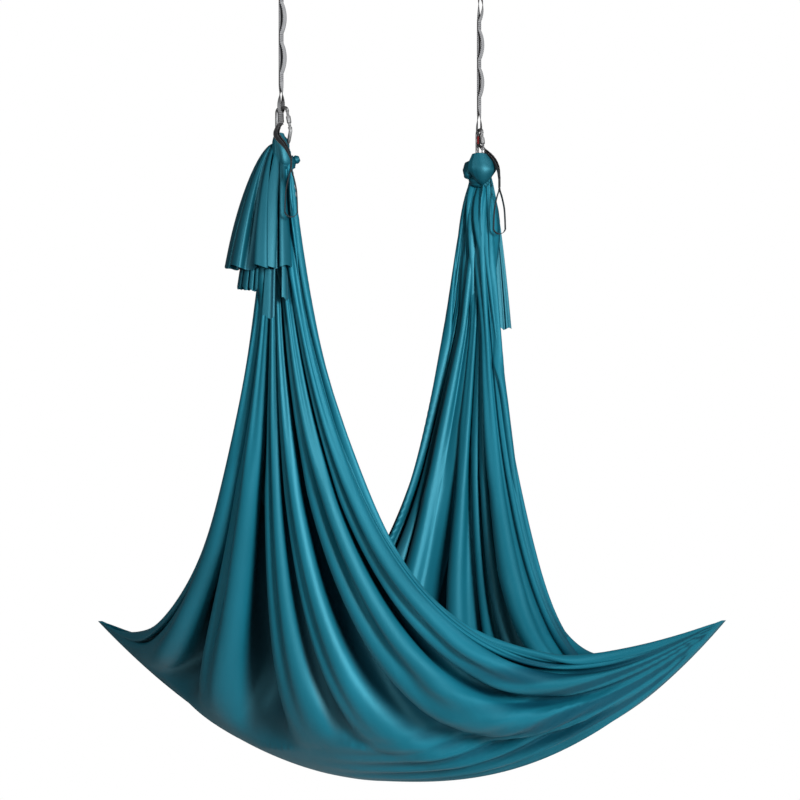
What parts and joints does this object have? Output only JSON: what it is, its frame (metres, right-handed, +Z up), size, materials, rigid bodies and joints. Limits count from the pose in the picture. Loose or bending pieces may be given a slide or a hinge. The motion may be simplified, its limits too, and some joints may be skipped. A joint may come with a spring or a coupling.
{
  "type": "aerial hammock",
  "caption": "Wide teal cloth sling hung by two knotted ends from locking carabiners on sewn daisy-chain straps, with bolted ceiling anchors.",
  "frame": {"origin": "midway between the two ceiling anchors, on the plane of the ceiling", "axes": "+Z up; X along the line through the two hang points, from the front one to the rear one; Y along the spread cloth, from the right tip to the left tip as seen from the front"},
  "size_m": [0.9814, 2.4169, 2.4986],
  "materials": {
    "anchor_steel": "brushed stainless steel",
    "bolt_zinc": "bright zinc plate",
    "carabiner_steel": "satin zinc-plated forged steel",
    "spring_steel": "plain spring wire",
    "webbing": "dark grey polyester webbing with a pale woven centre",
    "label_tab": "plain red woven tab",
    "sling_cloth": "satin teal nylon tricot"
  },
  "bodies": {
    "ceiling": {"front_anchor_plate": "anchor_steel", "front_anchor_bolt_1": "bolt_zinc", "front_anchor_bolt_2": "bolt_zinc", "front_anchor_bolt_3": "bolt_zinc", "front_anchor_bolt_4": "bolt_zinc", "rear_anchor_plate": "anchor_steel", "rear_anchor_bolt_1": "bolt_zinc", "rear_anchor_bolt_2": "bolt_zinc", "rear_anchor_bolt_3": "bolt_zinc", "rear_anchor_bolt_4": "bolt_zinc"},
    "front_upper_carabiner": {"front_upper_carabiner_body": "carabiner_steel", "front_upper_carabiner_gate_pin": "carabiner_steel"},
    "front_strap": {"front_daisy_chain": "webbing", "front_strap_spare_pocket": "webbing", "front_lower_carabiner_body": "carabiner_steel", "front_lower_carabiner_gate_pin": "carabiner_steel"},
    "front_end_loop": {"front_strap_end_loop": "webbing"},
    "front_upper_gate": {"front_upper_carabiner_gate": "carabiner_steel", "front_upper_carabiner_gate_spring": "spring_steel"},
    "front_upper_lock_sleeve": {"front_upper_carabiner_lock_sleeve": "carabiner_steel"},
    "front_lower_gate": {"front_lower_carabiner_gate": "carabiner_steel", "front_lower_carabiner_gate_spring": "spring_steel"},
    "front_lower_lock_sleeve": {"front_lower_carabiner_lock_sleeve": "carabiner_steel"},
    "rear_upper_carabiner": {"rear_upper_carabiner_body": "carabiner_steel", "rear_upper_carabiner_gate_pin": "carabiner_steel"},
    "rear_strap": {"rear_daisy_chain": "webbing", "rear_strap_spare_pocket": "webbing", "rear_lower_carabiner_body": "carabiner_steel", "rear_lower_carabiner_gate_pin": "carabiner_steel", "rear_strap_label_tab": "label_tab"},
    "rear_end_loop": {"rear_strap_end_loop": "webbing"},
    "rear_upper_gate": {"rear_upper_carabiner_gate": "carabiner_steel", "rear_upper_carabiner_gate_spring": "spring_steel"},
    "rear_upper_lock_sleeve": {"rear_upper_carabiner_lock_sleeve": "carabiner_steel"},
    "rear_lower_gate": {"rear_lower_carabiner_gate": "carabiner_steel", "rear_lower_carabiner_gate_spring": "spring_steel"},
    "rear_lower_lock_sleeve": {"rear_lower_carabiner_lock_sleeve": "carabiner_steel"},
    "hammock": {"hammock_sheet": "sling_cloth", "front_knot": "sling_cloth", "rear_knot": "sling_cloth", "front_tail": "sling_cloth", "rear_tail": "sling_cloth"}
  },
  "joints": [
    {"name": "fore_aft_swing", "type": "hinge", "parent": "ceiling", "child": "front_upper_carabiner", "pos_m": [-0.3745, 0, -0.045], "axis": [1, 0, 0], "range_deg": [-40, 40]},
    {"name": "rear_fore_aft_swing", "type": "hinge", "parent": "ceiling", "child": "rear_upper_carabiner", "pos_m": [0.3745, 0, -0.045], "axis": [1, 0, 0], "range_deg": [-40, 40]},
    {"name": "sideways_swing", "type": "hinge", "parent": "front_upper_carabiner", "child": "front_strap", "pos_m": [-0.3745, 0, -0.1332], "axis": [0, 1, 0], "range_deg": [-12, 12]},
    {"name": "rear_sideways_swing", "type": "hinge", "parent": "rear_upper_carabiner", "child": "rear_strap", "pos_m": [0.3745, 0, -0.1332], "axis": [0, 1, 0], "range_deg": [-12, 12]},
    {"name": "hammock_levelling", "type": "hinge", "parent": "front_strap", "child": "hammock", "pos_m": [-0.3745, 0, -0.6947], "axis": [0, 1, 0], "range_deg": [-12, 12]},
    {"name": "front_upper_gate_opening", "type": "hinge", "parent": "front_upper_carabiner", "child": "front_upper_gate", "pos_m": [-0.3745, -0.0376, -0.0916], "axis": [-1, 0, 0], "range_deg": [0, 16], "stiffness_Nm_per_rad": 0.15, "springref_deg": -20.05},
    {"name": "front_upper_sleeve_travel", "type": "slide", "parent": "front_upper_gate", "child": "front_upper_lock_sleeve", "axis": [0, 0.2425, 0.9701], "range_m": [0, 0.01]},
    {"name": "front_lower_gate_opening", "type": "hinge", "parent": "front_strap", "child": "front_lower_gate", "pos_m": [-0.3745, -0.0376, -0.6531], "axis": [-1, 0, 0], "range_deg": [0, 16], "stiffness_Nm_per_rad": 0.15, "springref_deg": -20.05},
    {"name": "front_lower_sleeve_travel", "type": "slide", "parent": "front_lower_gate", "child": "front_lower_lock_sleeve", "axis": [0, 0.2425, 0.9701], "range_m": [0, 0.01]},
    {"name": "rear_upper_gate_opening", "type": "hinge", "parent": "rear_upper_carabiner", "child": "rear_upper_gate", "pos_m": [0.3745, -0.0376, -0.0916], "axis": [-1, 0, 0], "range_deg": [0, 16], "stiffness_Nm_per_rad": 0.15, "springref_deg": -20.05},
    {"name": "rear_upper_sleeve_travel", "type": "slide", "parent": "rear_upper_gate", "child": "rear_upper_lock_sleeve", "axis": [0, 0.2425, 0.9701], "range_m": [0, 0.01]},
    {"name": "rear_lower_gate_opening", "type": "hinge", "parent": "rear_strap", "child": "rear_lower_gate", "pos_m": [0.35802, -0.03379, -0.6531], "axis": [-0.8988, 0.4384, 0], "range_deg": [0, 16], "stiffness_Nm_per_rad": 0.15, "springref_deg": -20.05},
    {"name": "rear_lower_sleeve_travel", "type": "slide", "parent": "rear_lower_gate", "child": "rear_lower_lock_sleeve", "axis": [0.1063, 0.218, 0.9701], "range_m": [0, 0.01]},
    {"name": "front_end_loop_swing", "type": "hinge", "parent": "front_strap", "child": "front_end_loop", "pos_m": [-0.4225, -0.098, -0.7719], "axis": [-0.5736, -0.8192, 0], "range_deg": [-3, 25]},
    {"name": "rear_end_loop_swing", "type": "hinge", "parent": "rear_strap", "child": "rear_end_loop", "pos_m": [0.3605, -0.098, -0.7719], "axis": [-0.5736, -0.8192, 0], "range_deg": [-3, 25]}
  ],
  "couplings": [
    {"joint": "rear_fore_aft_swing", "follows": "fore_aft_swing", "ratio": 1},
    {"joint": "rear_sideways_swing", "follows": "sideways_swing", "ratio": 1},
    {"joint": "hammock_levelling", "follows": "sideways_swing", "ratio": -1}
  ]
}
